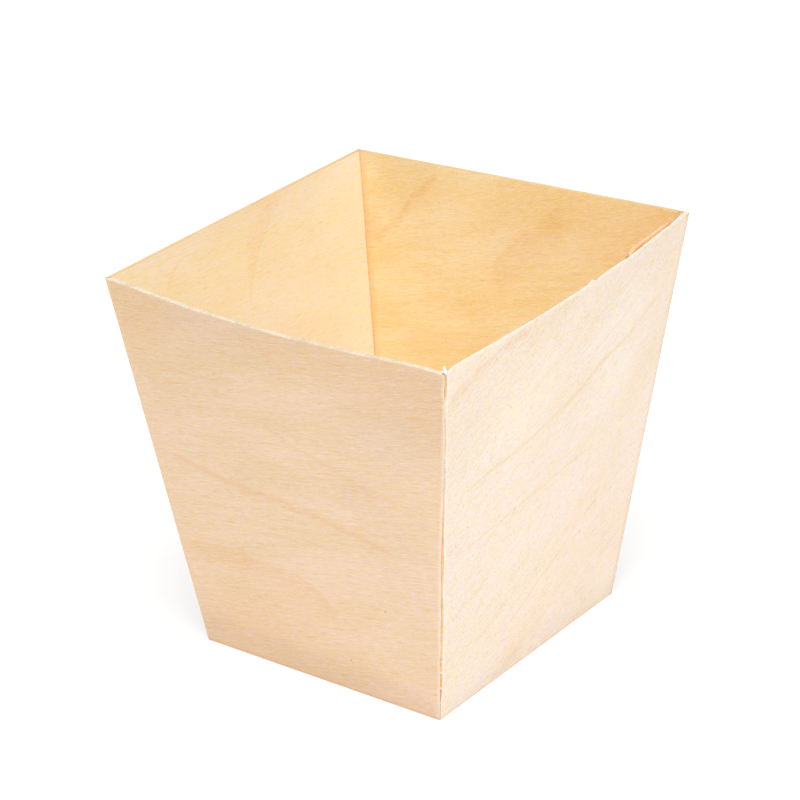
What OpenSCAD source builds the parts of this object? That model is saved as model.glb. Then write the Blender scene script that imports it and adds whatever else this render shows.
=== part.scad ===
// Square tapered finger food cup, folded from one sheet of thin veneer.
// The sheet is a fan of four walls with a glue tab at one end and the floor hinged to the back wall.
// +Z is up, the cup stands on z = 0, and the origin is the middle of the base. Millimetres.
// Going round from above: front wall (-Y), right wall (+X), back wall (+Y), left wall (-X).

/* [Cup] */
// Outside width across the rim corners, left to right
rim_x = 60; // [50:1:80]
// Outside width across the rim corners, front to back
rim_y = 60; // [50:1:80]
// Outside width of the base, left to right
base_x = 45; // [36:1:50]
// Outside width of the base, front to back
base_y = 43; // [36:1:50]
// Height of the rim
cup_h = 60; // [40:1:90]
// How much higher the sheet was cut at the seam corner, front right
seam_rise = 2.2; // [0:0.1:4]

/* [Veneer] */
// Thickness of the veneer
veneer = 0.8; // [0.6:0.05:1.2]
// Depth of the half cut on the outside of each fold, which stands open once folded
score = 0.4; // [0.2:0.05:0.5]

/* [Sprung walls] */
// How far the front wall bellies out at the middle of its rim
belly_front = 1.6; // [0:0.1:4]
// How far the left wall bellies out at the middle of its rim
belly_left = 2.4; // [0:0.1:4]

/* [Glue tab] */
// Width of the tab inside the front wall, from the seam corner
tab_w = 14.5; // [8:0.5:20]
// Width of the strip of the tab that the glue holds
tab_glued = 4.5; // [3:0.5:7]
// How far the free corner of the tab has lifted off the wall at the rim
tab_lift = 0.5; // [0:0.1:2]
// Radius of the free corner of the tab
tab_round = 2.5; // [1:0.5:4]
// Height of the tab's lower edge at the seam, clear of the floor
tab_foot = 1.5; // [1.5:0.5:4]
// How much higher the lower edge is at the free end
tab_foot_rise = 3; // [0:0.5:6]

/* [Floor] */
// Height of the glue flaps that turn up from the floor
flap_h = 8; // [5:0.5:12]
// Clearance between a flap's end and the next wall or flap
flap_gap = 1.5; // [0.5:0.5:4]
// How far a flap's ends slant in over its height
flap_slant = 5; // [1:0.5:8]

/* [Hidden] */

// Depth that two glued faces share, so that they are one solid
glue = 0.05;
// Columns and rows of a wall that bellies, and columns and rows of the tab
wall_cols = 24;
wall_rows = 8;
tab_cols = 10;
tab_rows = 10;

// The walls in turn, each a quarter turn on from the one before
WALLS = ["front", "right", "back", "left"];
function turn(wall) = 90 * search([wall], WALLS)[0];
function across(wall) = wall == "front" || wall == "back";

// Half of the wall's length, and its distance from the middle, at height z on its outer face
function half_span(rim, base, z) = (base + (rim - base) * z / cup_h) / 2;
function half_x(z) = half_span(rim_x, base_x, z);
function half_y(z) = half_span(rim_y, base_y, z);
function half_len(wall, z) = across(wall) ? half_x(z) : half_y(z);
function wall_off(wall, z) = across(wall) ? half_y(z) : half_x(z);

// Thickness of a depth of veneer, measured level through the leaning wall
function lean(wall) = atan((wall_off(wall, cup_h) - wall_off(wall, 0)) / cup_h);
function level(wall, depth) = depth / cos(lean(wall));

// Belly of the wall at its rim and at height z, where u runs from 0 to 1 along it
function belly(wall) = wall == "front" ? belly_front : wall == "left" ? belly_left : 0;
function belly_at(wall, u, z) = belly(wall) * sin(180 * u) * (z / cup_h) ^ 2;

// Height of the rim, which climbs along the front and right walls to the seam corner
function climb(wall, u) = wall == "front" ? u : wall == "right" ? 1 - u : 0;
function rim_z(wall, u) = cup_h + seam_rise * climb(wall, u);

// A point of a wall: x along it from its middle, at height z, and depth in from its outer face
function turned(a, p) = [p.x * cos(a) - p.y * sin(a), p.x * sin(a) + p.y * cos(a), p.z];
function wall_point(wall, x, z, depth) =
    let (half = half_len(wall, z), u = (x + half) / (2 * half))
    turned(turn(wall), [x, level(wall, depth) - wall_off(wall, z) - belly_at(wall, u, z), z]);

// A sheet between two like grids of points, with its outer face towards the viewer of the grid
module sheet(outer, inner) {
    rows = len(outer) - 1;
    cols = len(outer[0]) - 1;
    count = (rows + 1) * (cols + 1);
    function at(r, c, side) = side * count + r * (cols + 1) + c;
    function quad(a, b, c, d) = [[a, b, c], [a, c, d]];
    points = [for (face = [outer, inner]) for (row = face) for (p = row) p];
    faces = [
        for (r = [0 : rows - 1]) for (c = [0 : cols - 1]) each concat(
            quad(at(r, c, 0), at(r + 1, c, 0), at(r + 1, c + 1, 0), at(r, c + 1, 0)),
            quad(at(r, c, 1), at(r, c + 1, 1), at(r + 1, c + 1, 1), at(r + 1, c, 1))
        ),
        for (c = [0 : cols - 1]) each concat(
            quad(at(0, c, 0), at(0, c + 1, 0), at(0, c + 1, 1), at(0, c, 1)),
            quad(at(rows, c, 0), at(rows, c, 1), at(rows, c + 1, 1), at(rows, c + 1, 0))
        ),
        for (r = [0 : rows - 1]) each concat(
            quad(at(r, 0, 0), at(r, 0, 1), at(r + 1, 0, 1), at(r + 1, 0, 0)),
            quad(at(r, cols, 0), at(r + 1, cols, 0), at(r + 1, cols, 1), at(r, cols, 1))
        )
    ];
    polyhedron(points = points, faces = faces);
}

// One wall. Each end stops a half cut short of the next wall's outer face, and the open cut is left.
// At the seam the front wall runs right out, and the right wall starts behind it.
module wall_sheet(wall) {
    rows = belly(wall) > 0 ? wall_rows : 1;
    cols = belly(wall) > 0 ? wall_cols : 1;
    short_start = wall == "right" ? level("front", veneer) + score : score;
    short_end = wall == "front" ? 0 : score;
    foot = wall == "back" ? score : 0;
    function grid(depth) = [
        for (r = [0 : rows]) [
            for (c = [0 : cols])
                let (
                    u = c / cols,
                    z = foot + (rim_z(wall, u) - foot) * r / rows,
                    half = half_len(wall, z),
                    x = (short_start - half) + (2 * half - short_start - short_end) * u
                )
                wall_point(wall, x, z, depth)
        ]
    ];
    sheet(grid(0), grid(veneer));
}

// The tab folds on from the right wall and is glued inside the front wall. Its free edge has lifted.
module glue_tab() {
    function free(s) = max(0, s - tab_glued) / (tab_w - tab_glued);
    function lift(s, v) = tab_lift * free(s) ^ 1.2 * v ^ 2;
    function corner_drop(s) =
        let (t = max(0, s - (tab_w - tab_round))) tab_round - sqrt(tab_round ^ 2 - t ^ 2);
    function grid(depth) = [
        for (r = [0 : tab_rows]) [
            for (c = [0 : tab_cols])
                let (
                    v = r / tab_rows,
                    s = tab_w + (score - tab_w) * sin(90 * c / tab_cols),
                    u = 1 - s / rim_x,
                    foot = tab_foot + tab_foot_rise * s / tab_w,
                    z = foot + v * (rim_z("front", u) - corner_drop(s) - foot),
                    x = half_x(z) - s
                )
                wall_point("front", x, z, depth + lift(s, v))
        ]
    ];
    sheet(grid(veneer - glue), grid(2 * veneer - glue));
}

// The floor lies between the walls and runs out to the open cut under the back wall
module floor_panel() {
    side_x = half_x(0) - level("right", veneer) - score;
    front_y = level("front", veneer) + score - half_y(0);
    back_y = half_y(0) - score;
    translate([-side_x, front_y, 0])
        cube([2 * side_x, back_y - front_y, veneer]);
}

// A flap turned up from the floor and glued inside a wall, clear of the walls and the tab beside it
module floor_flap(wall) {
    start = wall == "right" ? 2 * veneer : veneer;
    end = wall == "front" ? tab_w : veneer;
    function grid(depth) = [
        for (z = [score, flap_h]) [
            for (side = [-1, 1])
                let (
                    taken = side < 0 ? start : end,
                    slant = flap_slant * (z - score) / (flap_h - score)
                )
                wall_point(wall, side * (half_len(wall, 0) - taken - flap_gap - slant), z, depth)
        ]
    ];
    sheet(grid(veneer - glue), grid(2 * veneer - glue));
}

module bowl() {
    color([0.96, 0.88, 0.74])
        union() {
            for (wall = WALLS) wall_sheet(wall);
            glue_tab();
            floor_panel();
            for (wall = ["front", "right", "left"]) floor_flap(wall);
        }
}

bowl();
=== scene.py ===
import math
import random
from collections import namedtuple

import bmesh
import bpy
from mathutils import Matrix, Vector, noise


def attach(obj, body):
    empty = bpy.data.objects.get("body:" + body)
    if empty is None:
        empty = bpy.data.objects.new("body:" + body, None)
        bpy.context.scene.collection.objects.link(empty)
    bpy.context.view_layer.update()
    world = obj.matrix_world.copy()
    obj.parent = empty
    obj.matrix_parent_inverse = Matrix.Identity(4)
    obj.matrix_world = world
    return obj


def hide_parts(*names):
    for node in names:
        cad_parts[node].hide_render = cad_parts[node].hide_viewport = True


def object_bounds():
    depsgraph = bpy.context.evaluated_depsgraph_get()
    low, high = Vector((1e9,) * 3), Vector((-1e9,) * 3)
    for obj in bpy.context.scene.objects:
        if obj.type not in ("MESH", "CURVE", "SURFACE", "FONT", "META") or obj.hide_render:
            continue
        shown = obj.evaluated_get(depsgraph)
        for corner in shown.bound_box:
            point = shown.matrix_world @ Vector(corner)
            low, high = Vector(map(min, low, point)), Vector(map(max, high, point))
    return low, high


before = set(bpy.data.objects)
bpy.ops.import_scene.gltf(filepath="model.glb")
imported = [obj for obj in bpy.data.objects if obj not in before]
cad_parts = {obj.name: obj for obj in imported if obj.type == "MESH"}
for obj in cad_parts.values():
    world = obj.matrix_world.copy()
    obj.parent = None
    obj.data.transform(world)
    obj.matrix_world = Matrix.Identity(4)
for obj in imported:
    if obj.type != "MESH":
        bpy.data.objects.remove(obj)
cad_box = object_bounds()

# Lengths are in millimetres, and a point becomes metres where it is placed
MM = 0.001

# Cup: outside widths at the rim and the base, height, and the climb of the rim to the seam corner
RIM_X = 60
RIM_Y = 60
BASE_X = 45
BASE_Y = 43
CUP_H = 60
SEAM_RISE = 2.2

# Veneer, the half cut along each fold, and how far the two sprung walls belly out at the rim
VENEER = 0.8
SCORE = 0.4
BELLY = {"front": 1.6, "left": 2.4}

# How far the lips of the half cut after a wall stay from the corner, the wall's own lip first
LIPS = {"left": (0.12, 0.12), "back": (0.12, 0.12), "right": (0.1, 0.1)}

# The front wall's cut gapes unevenly: height, then the same for its own lip and the left wall's
FRONT_CUT = (
    (0, 0.16, 0.02), (3.8, 0.2, 0.02), (4.6, 0.42, 0.06), (8, 0.55, 0.1), (9.6, 0.36, 0.14),
    (13, 0.52, 0.14), (19, 0.5, 0.16), (22.6, 0.3, 0.2), (27.8, 0.36, 0.3), (33, 0.2, 0.22),
    (38, 0.28, 0.16), (43.5, 0.28, 0.05), (48.7, 0.34, 0.05), (52, 0.2, 0.1), (54.8, 0.14, 0.12),
    (56.5, 0.24, 0.34), (57.8, 0.24, 0.2), (60.2, 0.24, 0.22),
)

# Glue tab inside the front wall, the strip that the glue holds, and the depth that glued faces share
TAB_W = 15
TAB_ROUND = 1.5
TAB_FOOT = 1.5
TAB_FOOT_RISE = 3
TAB_GLUED = 4.5
GLUE = 0.05

# Glue flaps that turn up from the floor, and what stands in the way at the two ends of each
FLAP_H = 8
FLAP_GAP = 1.5
FLAP_SLANT = 5
FLAPS = {"front": (VENEER, TAB_W), "right": (2 * VENEER, VENEER), "left": (VENEER, VENEER)}

# Going round from above, each wall is a quarter turn on from the one before
WALLS = ("front", "right", "back", "left")

# Mesh of the strip: spacing of its columns, width of the worn band at a cut edge, distances of the rows near
# a cut edge, then spacing and number of the rows between
COLUMN_STEP = 0.4
WORN = 0.1
EDGE_ROWS = (0, WORN, 0.4, 1, 2)
ROW_STEP = 1.4
MIDDLE_ROWS = 39

# Points of the strip that lie closer than this become one
WELD = 0.002


def across(wall):
    return wall in ("front", "back")


def half_x(z):
    return (BASE_X + (RIM_X - BASE_X) * z / CUP_H) / 2


def half_y(z):
    return (BASE_Y + (RIM_Y - BASE_Y) * z / CUP_H) / 2


def half_len(wall, z):
    """Half of the wall's length at height z, on its outer face."""
    return half_x(z) if across(wall) else half_y(z)


def wall_off(wall, z):
    """Distance of the wall's outer face from the middle of the cup at height z."""
    return half_y(z) if across(wall) else half_x(z)


LEAN = {wall: math.atan((wall_off(wall, CUP_H) - wall_off(wall, 0)) / CUP_H) for wall in WALLS}

# Thickness of each wall, measured level through its lean
THICK = {wall: VENEER / math.cos(LEAN[wall]) for wall in WALLS}


def belly_at(wall, x, z):
    """How far a sprung wall stands out of its plane. It is nothing at the folds and the base."""
    half = half_len(wall, z) - VENEER
    u = min(max((x + half) / (2 * half), 0), 1)
    return BELLY.get(wall, 0) * math.sin(math.pi * u) * (z / CUP_H) ** 2


def wall_point(wall, x, z, inset):
    """A point of a wall: x along it from its middle, at height z, and inset level from its outer face."""
    y = inset - wall_off(wall, z) - belly_at(wall, x, z)
    return Matrix.Rotation(math.radians(90 * WALLS.index(wall)), 3, "Z") @ Vector((x, y, z))


# The strip laid flat, from the seam end of the front wall to the free end of the tab. Seen from outside
# it runs right to left. The grain is one direction in the flat sheet, so it turns from wall to wall.
# start and end are distances in from the corners on the outer face, inner_start and inner_end on the inner.
# None is a lip of the front cut, which varies with the height.
Panel = namedtuple("Panel", "name wall grain start end inner_start inner_end")
STRIP = (
    Panel("front", "front", 31, 0, None, 0, THICK["left"]),
    Panel("left", "left", 12, None, LIPS["left"][0], THICK["front"], THICK["back"]),
    Panel("back", "back", 4, LIPS["left"][1], LIPS["back"][0], THICK["left"], THICK["right"]),
    Panel(
        "right", "right", -15, LIPS["back"][1], THICK["front"] + LIPS["right"][0],
        THICK["back"], 2 * THICK["front"] - GLUE,
    ),
    Panel("tab", "front", -30, LIPS["right"][1], TAB_W, THICK["right"], TAB_W),
)


def between_rows(rows, at):
    """The values of a table at a place between its rows, each of which starts with its place."""
    for low, high in zip(rows, rows[1:]):
        if at <= high[0]:
            share = max(0, (at - low[0]) / (high[0] - low[0]))
            return [a + (b - a) * share for a, b in zip(low[1:], high[1:])]
    return rows[-1][1:]


def panel_x(panel, t, z, inner):
    """Place along the wall at t, which runs from 0 at the panel's right edge to 1 at its left edge."""
    half = half_len(panel.wall, z)
    start = panel.inner_start if inner else panel.start
    end = panel.inner_end if inner else panel.end
    if end is None:
        end = between_rows(FRONT_CUT, z)[0]
    if start is None:
        start = between_rows(FRONT_CUT, z)[1]
    right = half - start
    left = half - end if panel.name == "tab" else end - half
    return right + (left - right) * t


# How far the tab stands off the front wall at the rim, by distance from the seam
TAB_GAP = ((0, 0), (7, 0.02), (10, 0.12), (12, 0.27), (TAB_W, 0.42))

# Its torn rim is feathered away on the side of the gap: how much, over what height, how far from the seam
# that starts, and over what length it grows to the whole
TAB_FEATHER = 0.25
FEATHER_RUN = 0.5
FEATHER_START = TAB_GLUED - 1
FEATHER_GROW = 2.5


def tab_gap(s):
    return between_rows(TAB_GAP, s)[0]


def tab_feather(s):
    """How much of the tab's thickness is feathered away at its rim, at a distance from the seam."""
    share = min(max((s - FEATHER_START) / FEATHER_GROW, 0), 1)
    return TAB_FEATHER * share * share * (3 - 2 * share)


def from_seam(panel, t):
    """Distance from the seam of a place on the tab."""
    return panel.start + (panel.end - panel.start) * t


def panel_ends_z(panel, t):
    """Heights of the panel's foot and rim at t along it."""
    if panel.name == "tab":
        s = from_seam(panel, t)
        into_corner = max(0, s - (TAB_W - TAB_ROUND))
        drop = TAB_ROUND - math.sqrt(max(TAB_ROUND ** 2 - into_corner ** 2, 0))
        return TAB_FOOT + TAB_FOOT_RISE * s / TAB_W, CUP_H + SEAM_RISE * (1 - s / RIM_X) - drop
    climb = {"front": 1 - t, "right": t}.get(panel.name, 0)
    foot = SCORE if panel.name == "back" else 0
    return foot, CUP_H + SEAM_RISE * climb


def panel_inset(panel, t, v, inner):
    """Inset of the panel's face from the outer face of its wall."""
    inset = THICK[panel.wall] if inner else 0
    if panel.name == "tab":
        inset += THICK["front"] - GLUE + tab_gap(from_seam(panel, t)) * v ** 2
    return inset


def flat_point(panel, x, z):
    """A point of the panel in its own plane: along the wall, and up its slope."""
    return Vector((x, z / math.cos(LEAN[panel.wall])))


def along_grain(panel, p):
    return Matrix.Rotation(-math.radians(panel.grain), 2) @ p


def net_origins():
    """Where each panel lies in the flat net, joined to the one before at the middle of their fold."""
    origins = {STRIP[0].name: Vector((0, 0))}
    middle = CUP_H / 2
    for before, panel in zip(STRIP, STRIP[1:]):
        left = along_grain(before, flat_point(before, -half_len(before.wall, middle), middle))
        right = along_grain(panel, flat_point(panel, half_len(panel.wall, middle), middle))
        origins[panel.name] = origins[before.name] + left - right
    return origins


NET_ORIGINS = net_origins()
PANELS = {panel.name: panel for panel in STRIP}


def net_point(name, x, z):
    """Place in the flat net of a point on a panel. The grain runs along the net's first axis."""
    panel = PANELS[name]
    return NET_ORIGINS[name] + along_grain(panel, flat_point(panel, x, z))


# The cut edge at the rim: how far its outer and inner corners are worn in, how much the sheet thins on its
# inner side, how uneven the cut is, and the finishes of its top and of its worn outer corner
Rim = namedtuple("Rim", "outer_in inner_in thinned ragged top outer")
RIMS = {
    "front": Rim(0.02, 0.04, 0.34, 0.07, "bright_edge", "front_outside"),
    "left": Rim(0.08, 0.06, 0, 0.12, "cut_edge", "cut_edge"),
    "back": Rim(0.1, 0, 0, 0.04, "brown_edge", "brown_edge"),
    "right": Rim(0.1, 0, 0, 0.04, "brown_edge", "brown_edge"),
    "tab": Rim(0.05, 0.04, 0.45, 0.1, "tab_edge", "tab_edge"),
}

# How far down from the rim an uneven cut and a thinned edge reach, how far from the seam the thinning
# starts, and over what length it grows to the whole
BITE_RUN = 1
THIN_RUN = 1.5
THIN_START = 1
THIN_GROW = 4

# How much higher the front rim was cut than the line between its corners, and the length over which it
# rises from the seam
FRONT_RISE = 0.2
RISE_RUN = 7

# A cut that stands higher leans in by this share of its rise
RISE_LEAN = 0.3

# Teeth, nicks and sags that the knife left in a rim: place along the wall, height and half width
BITES = {
    "front": ((3.0, 0.3, 0.5), (4.2, -0.14, 0.6), (-30, -0.75, 1.4), (14, -0.2, 3.5), (24, -0.13, 7)),
    "left": ((30, -0.45, 3.2),),
}

# The rim's top close to the seam: the share of the panel's length, and its finish there
SEAM_TOPS = {"front": (0.03, "seam_edge"), "tab": (TAB_GLUED / TAB_W, "glued_edge")}

# The uneven cut is noise along it, coarse and fine: turns in a millimetre, weight, and layer of the noise
CUT_NOISE = ((0.35, 0.7, 0.5), (1.9, 0.5, 7.5))
CUT_SEEDS = {"outer": 2, "inner": 5}

# Each panel's cut is read this far along the noise from the one before
PANEL_SHIFT = 100

# Mesh of the folded strip. A column belongs to a panel, or is the bottom of the half cut after it.
Column = namedtuple("Column", "panel t cut_bottom")


def panel_columns(panel):
    """Even columns along a panel, with a narrow worn band at each edge."""
    length = TAB_W if panel.name == "tab" else 2 * half_len(panel.wall, CUP_H)
    count = round(length / COLUMN_STEP)
    worn = WORN / length
    inner = [worn + (1 - 2 * worn) * i / count for i in range(count + 1)]
    return [Column(panel, t, False) for t in [0, *inner, 1]]


def strip_columns():
    columns = []
    for panel in STRIP:
        columns += panel_columns(panel)
        if panel.name != "tab":
            columns.append(Column(panel, 1, True))
    return columns


def strip_rows():
    """Heights from foot to rim as shares of the whole, close together at both cut edges."""
    middle = [EDGE_ROWS[-1] + ROW_STEP * i for i in range(1, MIDDLE_ROWS + 1)]
    rows = [*EDGE_ROWS, *middle, *(CUP_H - h for h in reversed(EDGE_ROWS))]
    return [h / CUP_H for h in rows]


def fade(distance, run):
    """1 at no distance, falling evenly to 0 over the run."""
    return max(0, 1 - distance / run)


def ragged(seed, along, amount):
    """Uneven bite of the knife at a place along a cut, from 0 to amount."""
    bite = 0.5
    for turns, weight, layer in CUT_NOISE:
        bite += weight * noise.noise(Vector((along * turns, seed, layer)))
    return amount * min(max(bite, 0), 1)


def rim_drop(panel, x, inner):
    """How far the cut at the rim dips below its true height."""
    seed = CUT_SEEDS["inner" if inner else "outer"]
    drop = ragged(seed, x + PANEL_SHIFT * STRIP.index(panel), RIMS[panel.name].ragged)
    for place, height, half in BITES.get(panel.name, ()):
        drop -= height * math.exp(-((x - place) / half) ** 2)
    if panel.name == "front":
        drop -= FRONT_RISE * min(1, max(0, (RIM_X / 2 - x) / RISE_RUN))
    return drop


def strip_point(column, row, rows, inner):
    """Where a corner of the strip's mesh lies once it is folded."""
    panel = column.panel
    rim = RIMS[panel.name]
    v = rows[row]
    foot, top = panel_ends_z(panel, column.t)
    z = foot + (top - foot) * v
    x = panel_x(panel, column.t, z, inner)
    inset = panel_inset(panel, column.t, v, inner)
    if column.cut_bottom and not inner:
        inset = SCORE
    below = top - z
    drop = rim_drop(panel, x, inner) * fade(below, BITE_RUN)
    z -= drop
    inset += RISE_LEAN * max(0, -drop)
    clear_of_seam = max(0, half_len(panel.wall, z) - x - THIN_START)
    thinning = rim.thinned * min(1, clear_of_seam / THIN_GROW)
    if panel.name == "tab":
        feather = tab_feather(from_seam(panel, column.t))
        thinning -= feather
        inset += 0 if inner else feather * fade(below, FEATHER_RUN)
    if inner:
        inset -= thinning * fade(below, THIN_RUN)
    if row == len(rows) - 1:
        inset += -rim.inner_in if inner else rim.outer_in
    return wall_point(panel.wall, x, z, inset) * MM


def strip_slot(columns, spans, last_row, levels, side):
    """Material slot of a face of the strip, from the columns and rows that it spans."""
    panel = columns[min(spans)].panel
    rim = RIMS[panel.name]
    open_cut = any(columns[c].cut_bottom for c in spans)
    at_end = min(spans) == 0 or max(spans) == len(columns) - 1
    beside = [c for c in (min(spans) - 1, max(spans) + 1) if 0 <= c < len(columns)]
    lip = side == "outside" and not open_cut and any(columns[c].cut_bottom for c in beside)
    if side == "edge" and max(levels) == last_row and not at_end:
        near_seam, finish = SEAM_TOPS.get(panel.name, (0, rim.top))
        return slot_of(finish if columns[max(spans)].t < near_seam else rim.top)
    if side == "edge" or at_end:
        return slot_of("cut_edge")
    if side == "outside" and open_cut:
        return slot_of("open_score")
    if side == "outside" and max(levels) == last_row:
        return slot_of(rim.outer)
    if lip:
        return slot_of("fresh_edge")
    return slot_of(panel.name + "_" + side)


def map_strip_face(face, side, columns, levels, maps):
    """Unwraps a face of the strip: its place in the net, and its distance from the panel's two ends."""
    column_at, row_at, net, ends = maps
    panel = columns[min(loop.vert[column_at] for loop in face.loops)].panel
    inner = side == "inside"
    for loop in face.loops:
        column = columns[loop.vert[column_at]]
        foot, rim = panel_ends_z(column.panel, column.t)
        z = foot + (rim - foot) * levels[loop.vert[row_at]]
        if column.panel == panel:
            x = panel_x(panel, column.t, z, False)
            own = panel_x(panel, column.t, z, inner)
        else:
            x = own = panel_x(panel, 1, z, False) - SCORE
        loop[net].uv = net_point(panel.name, x, z)
        loop[ends].uv = panel_x(panel, 0, z, inner) - own, own - panel_x(panel, 1, z, inner)


def folded_strip():
    """The four walls and the tab as one closed sheet: a flat grid, given its thickness and then folded."""
    columns = strip_columns()
    rows = strip_rows()
    bm = bmesh.new()
    bmesh.ops.create_grid(bm, x_segments=len(columns) - 1, y_segments=len(rows) - 1, size=0.5)
    column_at = bm.verts.layers.int.new("column")
    row_at = bm.verts.layers.int.new("row")
    for vert in bm.verts:
        vert[column_at] = round((0.5 - vert.co.x) * (len(columns) - 1))
        vert[row_at] = round((0.5 + vert.co.y) * (len(rows) - 1))
    inner_faces = set(bm.faces)
    extruded = bmesh.ops.extrude_face_region(bm, geom=bm.faces[:])["geom"]
    outer_verts = {v for v in extruded if isinstance(v, bmesh.types.BMVert)}
    outer_faces = {f for f in extruded if isinstance(f, bmesh.types.BMFace)}
    maps = (column_at, row_at, bm.loops.layers.uv.new("net"), bm.loops.layers.uv.new("ends"))
    for face in bm.faces:
        side = "inside" if face in inner_faces else "outside" if face in outer_faces else "edge"
        spans = {vert[column_at] for vert in face.verts}
        levels = {vert[row_at] for vert in face.verts}
        face.material_index = strip_slot(columns, spans, len(rows) - 1, levels, side)
        map_strip_face(face, side, columns, rows, maps)
    for vert in bm.verts:
        vert.co = strip_point(columns[vert[column_at]], vert[row_at], rows, vert not in outer_verts)
    bmesh.ops.remove_doubles(bm, verts=bm.verts[:], dist=WELD * MM)
    return bm


def floor_corners():
    """The floor's lower and upper four corners. It runs out to the open cut under the back wall."""
    side_x = half_x(0) - THICK["right"] - SCORE
    front_y = THICK["front"] + SCORE - half_y(0)
    back_y = half_y(0) - SCORE
    return [
        [Vector((sign * side_x, y, z)) for sign in (-1, 1) for y in (front_y, back_y)] for z in (0, VENEER)
    ]


def flap_corners(wall):
    """The outer and inner four corners of the flap inside a wall. Its ends slant in over its height."""
    faces = []
    for inset in (THICK[wall] - GLUE, 2 * THICK[wall] - GLUE):
        corners = []
        for sign, taken in zip((-1, 1), FLAPS[wall]):
            for z in (SCORE, FLAP_H):
                slant = FLAP_SLANT * (z - SCORE) / (FLAP_H - SCORE)
                x = sign * (half_len(wall, 0) - taken - FLAP_GAP - slant)
                corners.append(wall_point(wall, x, z, inset))
        faces.append(corners)
    return faces


def floor_and_flaps():
    """The floor, hinged to the back wall's foot, and its three glue flaps turned up inside the walls."""
    bm = bmesh.new()
    net = bm.loops.layers.uv.new("net")
    for low, high in [floor_corners(), *(flap_corners(wall) for wall in FLAPS)]:
        box = bmesh.ops.create_cube(bm, size=1)["verts"]
        for vert in box:
            corner = (2 if vert.co.x > 0 else 0) + (1 if vert.co.y > 0 else 0)
            vert.co = (high if vert.co.z > 0 else low)[corner] * MM
        for face in {f for v in box for f in v.link_faces}:
            face.material_index = slot_of("back_floor")
            for loop in face.loops:
                loop[net].uv = net_point("back", -loop.vert.co.x / MM, loop.vert.co.y / MM - half_y(0))
    bmesh.ops.recalc_face_normals(bm, faces=bm.faces[:])
    return bm


# Torn fibres: slim tapered slivers, rooted in the sheet
def sliver(bm, root, tip, width, slot, blunt=0.25):
    """A sliver of wood from root to tip, in millimetres. Blunt is the tip's share of the root's width."""
    axis = tip - root
    place = Matrix.Translation((root + tip) / 2 * MM) @ axis.to_track_quat("Z", "Y").to_matrix().to_4x4()
    made = bmesh.ops.create_cone(
        bm, cap_ends=True, segments=4, radius1=width / 2 * MM, radius2=width * blunt / 2 * MM,
        depth=axis.length * MM, matrix=place,
    )
    for face in {face for vert in made["verts"] for face in vert.link_faces}:
        face.material_index = slot


# Room that a fibre's end keeps from the sides of the CAD part's box
FIBRE_ROOM = 0.06


def inside_cad(p):
    """Whether a fibre may end here and stay within the box of the CAD part."""
    room = Vector([FIBRE_ROOM] * 3)
    lower, upper = (p - room) * MM, (p + room) * MM
    return all(low < a and b < high for low, a, b, high in zip(cad_box[0], lower, upper, cad_box[1]))


# How long and wide a torn fibre of the rim is, how deep it is rooted and how deep its tip lies if it isn't
# lifted, and how far across the rim it may stray
FIBRE_LENGTH = (0.2, 0.9)
FIBRE_WIDTH = (0.04, 0.1)
FIBRE_ROOT = 0.2
FIBRE_SUNK = 0.04
FIBRE_STRAY = 0.1

# Torn fibres along each rim: how many, the shares of the thickness they are rooted between, how far they
# may stand up, and their finish
RIM_FIBRES = {
    "front": (40, 0.1, 0.36, 0.04, "bright_edge"), "left": (60, 0.2, 0.85, 0.12, "cut_edge"),
    "back": (10, 0.2, 0.85, 0.12, "brown_edge"), "right": (10, 0.2, 0.85, 0.12, "brown_edge"),
}


def rim_fibres():
    """Short fibres along the rim, lying mostly with it and standing a little up."""
    rng = random.Random(11)
    bm = bmesh.new()
    for wall, (count, near, far, stand, finish) in RIM_FIBRES.items():
        panel = PANELS[wall]
        for _ in range(count):
            t = rng.uniform(0.01, 0.99)
            depth = rng.uniform(near, far) * THICK[wall]
            run = rng.choice((-1, 1)) * rng.uniform(*FIBRE_LENGTH)
            lift = rng.uniform(0.0, stand)
            width = rng.uniform(*FIBRE_WIDTH)
            rim = panel_ends_z(panel, t)[1]
            x = panel_x(panel, t, rim, False)
            rim -= rim_drop(panel, x, False)
            root = wall_point(wall, x, rim - FIBRE_ROOT, depth)
            stray = rng.uniform(-FIBRE_STRAY, FIBRE_STRAY)
            tip = wall_point(wall, x + run, rim - FIBRE_SUNK + lift, depth + stray)
            if inside_cad(tip) and inside_cad(root):
                sliver(bm, root, tip, width, slot_of(finish))
    return bm


# Pale fibres along the tab's torn edge: distance from the seam where each begins, and its length. Then how
# far each stands out from the tab's inner face, and how deep its ends may dip.
TAB_FIBRES = ((4.4, 2.2), (6.5, 1.6), (8.0, 2.3), (10.2, 1.4), (11.5, 1.3), (12.7, 1.0))
TAB_FIBRE_WIDTH = 0.11
TAB_FIBRE_BLUNT = 0.6
TAB_FIBRE_OUT = 0.12
TAB_FIBRE_DIP = 0.08

# A brown sliver on the rim just past the tab is painted shade of the dark gap at the tab's end
# Root and tip of that sliver: place along the front wall, height and inset
GAP_SHADE_SLIVER = ((12.15, 61.7, 0.5), (13.0, 61.85, 0.5))
GAP_SHADE_WIDTH = 0.2
GAP_SHADE_BLUNT = 0.7


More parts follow.
